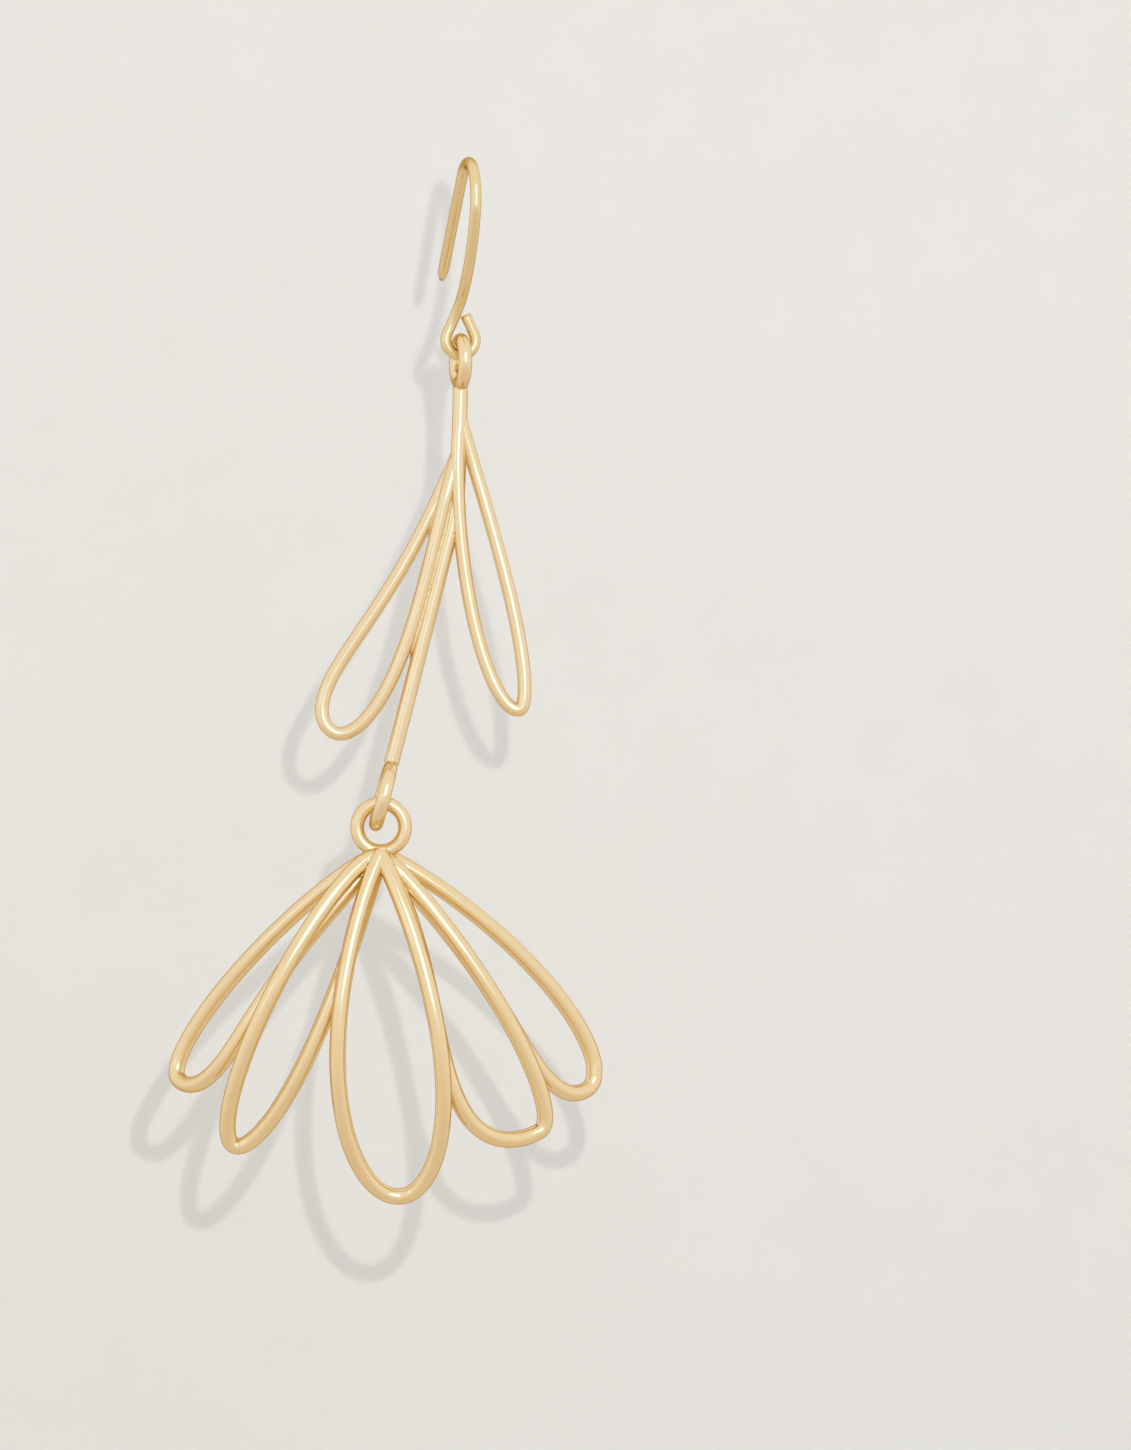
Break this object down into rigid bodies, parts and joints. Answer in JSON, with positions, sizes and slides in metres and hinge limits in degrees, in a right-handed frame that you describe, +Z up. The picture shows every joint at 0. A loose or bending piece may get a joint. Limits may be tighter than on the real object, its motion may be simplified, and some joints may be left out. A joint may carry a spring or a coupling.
{
  "type": "chandelier earring",
  "caption": "Ear wire carrying a wire leaf link and a fanned wire flower that swings below it.",
  "frame": {"origin": "underside of the ear hook's bow at its highest point, where the earring hangs in the ear", "axes": "+Z up, -Y towards the viewer of the worn earring, +X to that viewer's right; the hook's tail runs back to +Y"},
  "size_m": [0.032, 0.0122, 0.0763],
  "materials": {
    "ear_wire_gold": "gold-plated wire, satin, a little deeper in tone than the drop",
    "leaf_gold": "pale gold-plated wire, satin, with soldered joins",
    "petal_gold": "pale gold-plated wire, satin, with soldered joins"
  },
  "bodies": {
    "ear_hook": {"ear_hook": "ear_wire_gold"},
    "leaf_link": {"leaf_link": "leaf_gold"},
    "flower_drop": {"flower_drop": "petal_gold"}
  },
  "joints": [
    {"name": "leaf_swing", "type": "hinge", "parent": "ear_hook", "child": "leaf_link", "pos_m": [-0.0006, 0.00332, -0.01336], "axis": [0.9724, 0.2334, 0], "range_deg": [-90, 90]},
    {"name": "flower_swing", "type": "hinge", "parent": "leaf_link", "child": "flower_drop", "pos_m": [-0.0064, 0.00332, -0.04609], "axis": [1, 0, 0], "range_deg": [-90, 90]}
  ]
}
